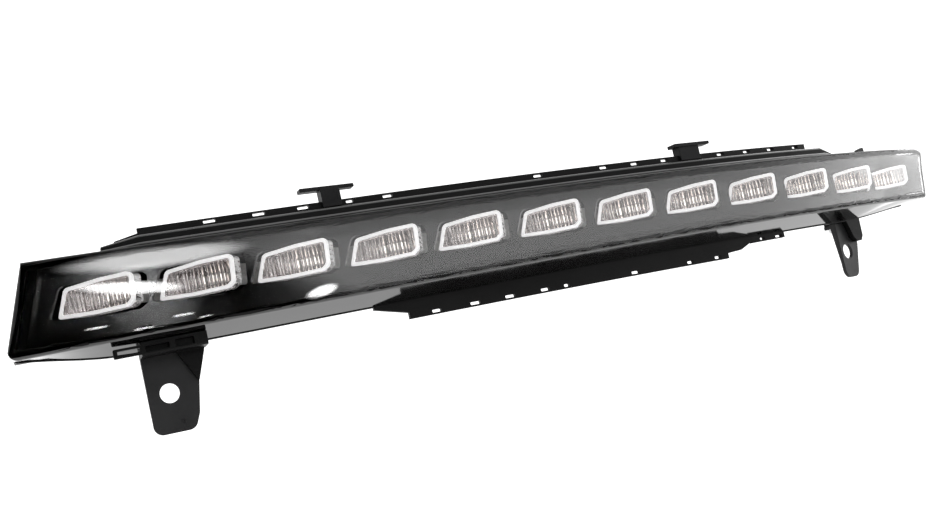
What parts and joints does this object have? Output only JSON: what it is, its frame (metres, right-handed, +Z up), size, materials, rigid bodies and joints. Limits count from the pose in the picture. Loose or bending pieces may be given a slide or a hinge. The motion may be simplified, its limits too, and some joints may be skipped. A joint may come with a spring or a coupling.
{
  "type": "vehicle indicator lamp",
  "caption": "Slim curved front indicator lamp for a bumper corner: clear lens over a black interior with a row of white framed light eyes, slotted black housing and two bolt-on bracket tabs.",
  "frame": {"origin": "centre of the left bracket's bolt hole, on the front face of its plate", "axes": "+X along the lamp from the left bracket to the right one, parallel to the chord of the row of eyes; +Y to the rear, into the car; +Z up"},
  "size_m": [0.5622, 0.0897, 0.1003],
  "materials": {
    "clear_lens": "clear, high gloss",
    "black_plastic": "satin moulded",
    "gloss_black": "high gloss",
    "white_frame": "gloss white",
    "clear_optic": "clear, fluted",
    "silver_cup": "metallised",
    "board": "coated",
    "emitter": "phosphor",
    "hook_plastic": "satin moulded",
    "bracket_steel": "black coated",
    "screw_steel": "zinc plated",
    "cover_metal": "die cast",
    "seal_rubber": "matte",
    "connector_plastic": "satin moulded",
    "pin_metal": "tinned",
    "vent_rubber": "matte"
  },
  "bodies": {
    "root": {"bezel": "gloss_black", "bracket_screws": "screw_steel", "connector_pins": "pin_metal", "connector_shell": "connector_plastic", "control_board": "board", "control_cover": "cover_metal", "cover_gasket": "seal_rubber", "cover_screws": "screw_steel", "eye_frame_01": "white_frame", "eye_frame_02": "white_frame", "eye_frame_03": "white_frame", "eye_frame_04": "white_frame", "eye_frame_05": "white_frame", "eye_frame_06": "white_frame", "eye_frame_07": "white_frame", "eye_frame_08": "white_frame", "eye_frame_09": "white_frame", "eye_frame_10": "white_frame", "eye_frame_11": "white_frame", "eye_frame_12": "white_frame", "eye_optic_01": "clear_optic", "eye_optic_02": "clear_optic", "eye_optic_03": "clear_optic", "eye_optic_04": "clear_optic", "eye_optic_05": "clear_optic", "eye_optic_06": "clear_optic", "eye_optic_07": "clear_optic", "eye_optic_08": "clear_optic", "eye_optic_09": "clear_optic", "eye_optic_10": "clear_optic", "eye_optic_11": "clear_optic", "eye_optic_12": "clear_optic", "housing": "black_plastic", "led_board": "board", "led_emitters": "emitter", "left_bracket": "bracket_steel", "lens_seal": "seal_rubber", "outer_lens": "clear_lens", "reflector_cup_01": "silver_cup", "reflector_cup_02": "silver_cup", "reflector_cup_03": "silver_cup", "reflector_cup_04": "silver_cup", "reflector_cup_05": "silver_cup", "reflector_cup_06": "silver_cup", "reflector_cup_07": "silver_cup", "reflector_cup_08": "silver_cup", "reflector_cup_09": "silver_cup", "reflector_cup_10": "silver_cup", "reflector_cup_11": "silver_cup", "reflector_cup_12": "silver_cup", "right_bracket": "bracket_steel", "top_hook_left": "hook_plastic", "top_hook_right": "hook_plastic", "vent_caps": "vent_rubber"}
  },
  "joints": []
}
